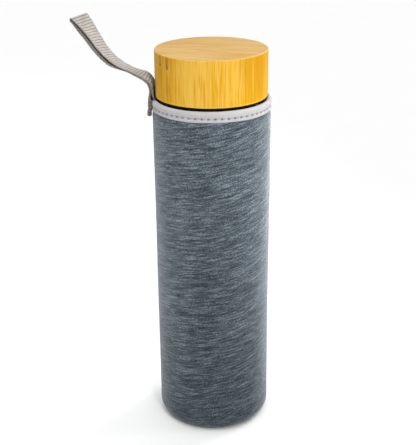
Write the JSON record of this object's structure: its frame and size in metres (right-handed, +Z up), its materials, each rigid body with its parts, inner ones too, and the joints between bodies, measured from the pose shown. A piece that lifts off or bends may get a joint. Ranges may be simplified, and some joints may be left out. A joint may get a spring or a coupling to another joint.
{
  "type": "glass water bottle",
  "caption": "Tall round glass water bottle in a padded knit sleeve with bound rim, turned bamboo screw cap with liner and seal, and a webbing wrist loop.",
  "frame": {"origin": "centre of the sleeve's flat underside, on the bottle's axis", "axes": "+Z up along the bottle's axis, the wrist strap on the -X side, the sleeve's closing seam at +Y"},
  "size_m": [0.1131, 0.0682, 0.2449],
  "materials": {
    "knit": "heathered jersey knit",
    "foam": "closed-cell foam sheet",
    "lining": "fine jersey",
    "binding": "smooth folded tape",
    "light_thread": "twisted sewing thread",
    "dark_thread": "twisted sewing thread",
    "webbing": "cross-ribbed webbing",
    "glass": "clear polished",
    "bamboo": "sanded and oiled laminated bamboo",
    "black_plastic": "satin moulded",
    "silicone": "translucent white silicone"
  },
  "bodies": {
    "sleeve": {"sleeve_knit": "knit", "sleeve_foam": "foam", "sleeve_lining": "lining", "base_knit": "knit", "base_foam": "foam", "base_lining": "lining", "rim_binding": "binding", "rim_needle_thread": "light_thread", "rim_bobbin_thread": "light_thread", "side_seam_thread": "dark_thread", "base_seam_thread": "dark_thread", "strap_inner_tail": "webbing", "strap_outer_tail": "webbing", "strap_bartack": "light_thread"},
    "bottle": {"glass_bottle": "glass"},
    "seal": {"cap_seal": "silicone"},
    "cap": {"bamboo_cap": "bamboo", "cap_insert": "black_plastic"},
    "strap": {"strap_loop": "webbing"}
  },
  "joints": [
    {"name": "bottle_slide", "type": "slide", "parent": "sleeve", "child": "bottle", "axis": [0, 0, 1], "range_m": [0, 0.2]},
    {"name": "cap_rise", "type": "slide", "parent": "bottle", "child": "seal", "axis": [0, 0, 1], "range_m": [0, 0.0201]},
    {"name": "cap_turn", "type": "hinge", "parent": "seal", "child": "cap", "pos_m": [0, 0, 0.21], "axis": [0, 0, 1], "range_deg": [0, 1440]},
    {"name": "strap_swing", "type": "hinge", "parent": "sleeve", "child": "strap", "pos_m": [-0.0334, 0, 0.2036], "axis": [0, 1, 0], "range_deg": [-110, 0], "stiffness_Nm_per_rad": 0.01}
  ],
  "couplings": [
    {"joint": "cap_rise", "follows": "cap_turn", "m_per_rad": 0.00079577}
  ]
}
